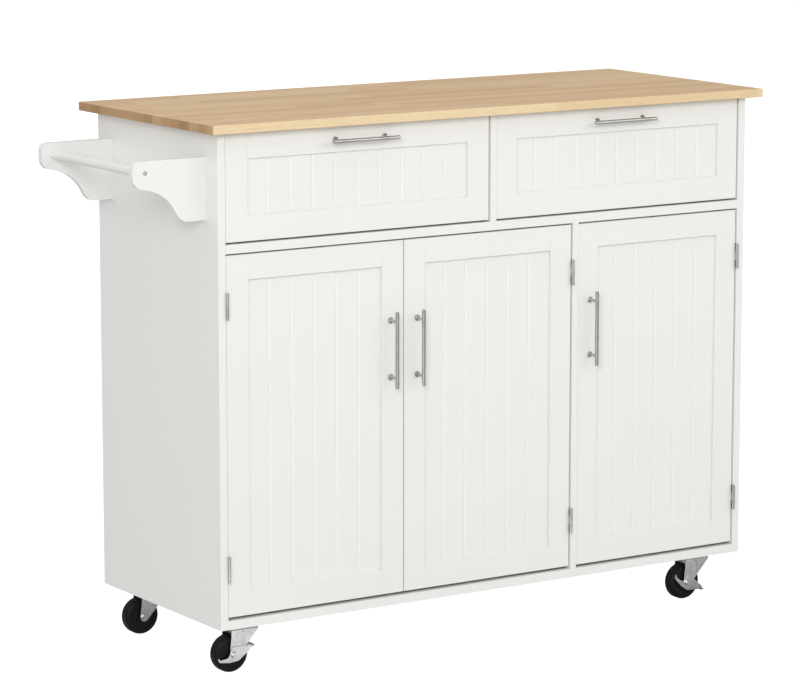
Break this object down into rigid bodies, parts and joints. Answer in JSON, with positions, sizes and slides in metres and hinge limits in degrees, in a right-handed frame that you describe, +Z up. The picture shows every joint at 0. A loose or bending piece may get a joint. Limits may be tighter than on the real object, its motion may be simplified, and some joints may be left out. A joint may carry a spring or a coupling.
{
  "type": "kitchen island cart",
  "caption": "Rolling kitchen island: wood-block worktop on a painted cabinet with drawers over doors, an end towel rail and locking casters.",
  "frame": {"origin": "bottom centre of the whole island's bounding box, on the floor", "axes": "+X towards the cabinet's right end seen from the front (the towel rail is at -X), +Y towards the back, +Z up"},
  "size_m": [1.231, 0.457, 0.921],
  "materials": {
    "butcher_block": "oiled light hardwood staves",
    "white_paint": "satin white paint on board",
    "shelf_board": "matte white faced board",
    "drawer_board": "matte white faced board",
    "back_board": "matte white hardboard",
    "satin_nickel": "satin nickel",
    "nickel_steel": "nickel-plated steel",
    "zinc_steel": "bright zinc plate",
    "black_wheel": "matte black",
    "white_plastic": "matte"
  },
  "bodies": {
    "cabinet": {"back_panel": "back_board", "bottom_panel": "white_paint", "caster_plates": "zinc_steel", "caster_screws": "zinc_steel", "compartment_divider": "white_paint", "door_catches": "white_plastic", "drawer_deck": "white_paint", "drawer_divider": "white_paint", "hinge_fixed_leaves": "nickel_steel", "outer_runners": "zinc_steel", "shelf_left": "shelf_board", "shelf_pins": "nickel_steel", "shelf_right": "shelf_board", "side_panel_left": "white_paint", "side_panel_right": "white_paint", "top_rails": "white_paint", "towel_bracket_back": "white_paint", "towel_bracket_front": "white_paint", "towel_rail": "white_paint", "towel_rail_screws": "nickel_steel", "worktop": "butcher_block"},
    "drawer_left": {"drawer_left_bead_board": "white_paint", "drawer_left_box_back": "drawer_board", "drawer_left_box_bottom": "drawer_board", "drawer_left_box_sides": "drawer_board", "drawer_left_front_frame": "white_paint", "drawer_left_handle": "satin_nickel", "drawer_left_inner_runners": "zinc_steel"},
    "drawer_right": {"drawer_right_bead_board": "white_paint", "drawer_right_box_back": "drawer_board", "drawer_right_box_bottom": "drawer_board", "drawer_right_box_sides": "drawer_board", "drawer_right_front_frame": "white_paint", "drawer_right_handle": "satin_nickel", "drawer_right_inner_runners": "zinc_steel"},
    "door_left": {"door_left_bead_board": "white_paint", "door_left_front_frame": "white_paint", "door_left_handle": "satin_nickel", "door_left_hinge_leaves": "nickel_steel", "door_left_strike_plate": "nickel_steel"},
    "door_middle": {"door_middle_bead_board": "white_paint", "door_middle_front_frame": "white_paint", "door_middle_handle": "satin_nickel", "door_middle_hinge_leaves": "nickel_steel", "door_middle_strike_plate": "nickel_steel"},
    "door_right": {"door_right_bead_board": "white_paint", "door_right_front_frame": "white_paint", "door_right_handle": "satin_nickel", "door_right_hinge_leaves": "nickel_steel", "door_right_strike_plate": "nickel_steel"},
    "fork_front_left": {"fork_front_left": "zinc_steel"},
    "wheel_front_left": {"wheel_front_left": "black_wheel"},
    "fork_front_right": {"fork_front_right": "zinc_steel"},
    "wheel_front_right": {"wheel_front_right": "black_wheel"},
    "fork_rear_left": {"fork_rear_left": "zinc_steel"},
    "wheel_rear_left": {"wheel_rear_left": "black_wheel"},
    "fork_rear_right": {"fork_rear_right": "zinc_steel"},
    "wheel_rear_right": {"wheel_rear_right": "black_wheel"},
    "brake_lever_front_left": {"brake_lever_front_left": "zinc_steel"},
    "brake_lever_front_right": {"brake_lever_front_right": "zinc_steel"}
  },
  "joints": [
    {"name": "drawer_left_slide", "type": "slide", "parent": "cabinet", "child": "drawer_left", "axis": [0, -1, 0], "range_m": [0, 0.265]},
    {"name": "drawer_right_slide", "type": "slide", "parent": "cabinet", "child": "drawer_right", "axis": [0, -1, 0], "range_m": [0, 0.265]},
    {"name": "door_left_hinge", "type": "hinge", "parent": "cabinet", "child": "door_left", "pos_m": [-0.4665, -0.2083, 0.40475], "axis": [0, 0, 1], "range_deg": [-170, 0]},
    {"name": "door_middle_hinge", "type": "hinge", "parent": "cabinet", "child": "door_middle", "pos_m": [0.2215, -0.2083, 0.40475], "axis": [0, 0, 1], "range_deg": [0, 145]},
    {"name": "door_right_hinge", "type": "hinge", "parent": "cabinet", "child": "door_right", "pos_m": [0.5795, -0.2083, 0.40475], "axis": [0, 0, 1], "range_deg": [0, 170]},
    {"name": "front_left_swivel", "type": "hinge", "parent": "cabinet", "child": "fork_front_left", "pos_m": [-0.4155, -0.1565, 0.0764], "axis": [0, 0, 1], "continuous": true},
    {"name": "front_left_wheel_spin", "type": "hinge", "parent": "fork_front_left", "child": "wheel_front_left", "pos_m": [-0.4395, -0.1565, 0.03175], "axis": [0, 1, 0], "continuous": true},
    {"name": "front_right_swivel", "type": "hinge", "parent": "cabinet", "child": "fork_front_right", "pos_m": [0.5285, -0.1565, 0.0764], "axis": [0, 0, 1], "continuous": true},
    {"name": "front_right_wheel_spin", "type": "hinge", "parent": "fork_front_right", "child": "wheel_front_right", "pos_m": [0.5045, -0.1565, 0.03175], "axis": [0, 1, 0], "continuous": true},
    {"name": "rear_left_swivel", "type": "hinge", "parent": "cabinet", "child": "fork_rear_left", "pos_m": [-0.4155, 0.1495, 0.0764], "axis": [0, 0, 1], "continuous": true},
    {"name": "rear_left_wheel_spin", "type": "hinge", "parent": "fork_rear_left", "child": "wheel_rear_left", "pos_m": [-0.4395, 0.1495, 0.03175], "axis": [0, 1, 0], "continuous": true},
    {"name": "rear_right_swivel", "type": "hinge", "parent": "cabinet", "child": "fork_rear_right", "pos_m": [0.5285, 0.1495, 0.0764], "axis": [0, 0, 1], "continuous": true},
    {"name": "rear_right_wheel_spin", "type": "hinge", "parent": "fork_rear_right", "child": "wheel_rear_right", "pos_m": [0.5045, 0.1495, 0.03175], "axis": [0, 1, 0], "continuous": true},
    {"name": "front_left_brake_pivot", "type": "hinge", "parent": "fork_front_left", "child": "brake_lever_front_left", "pos_m": [-0.4395, -0.1565, 0.03175], "axis": [0, 1, 0], "range_deg": [0, 40]},
    {"name": "front_right_brake_pivot", "type": "hinge", "parent": "fork_front_right", "child": "brake_lever_front_right", "pos_m": [0.5045, -0.1565, 0.03175], "axis": [0, 1, 0], "range_deg": [-40, 0]}
  ]
}
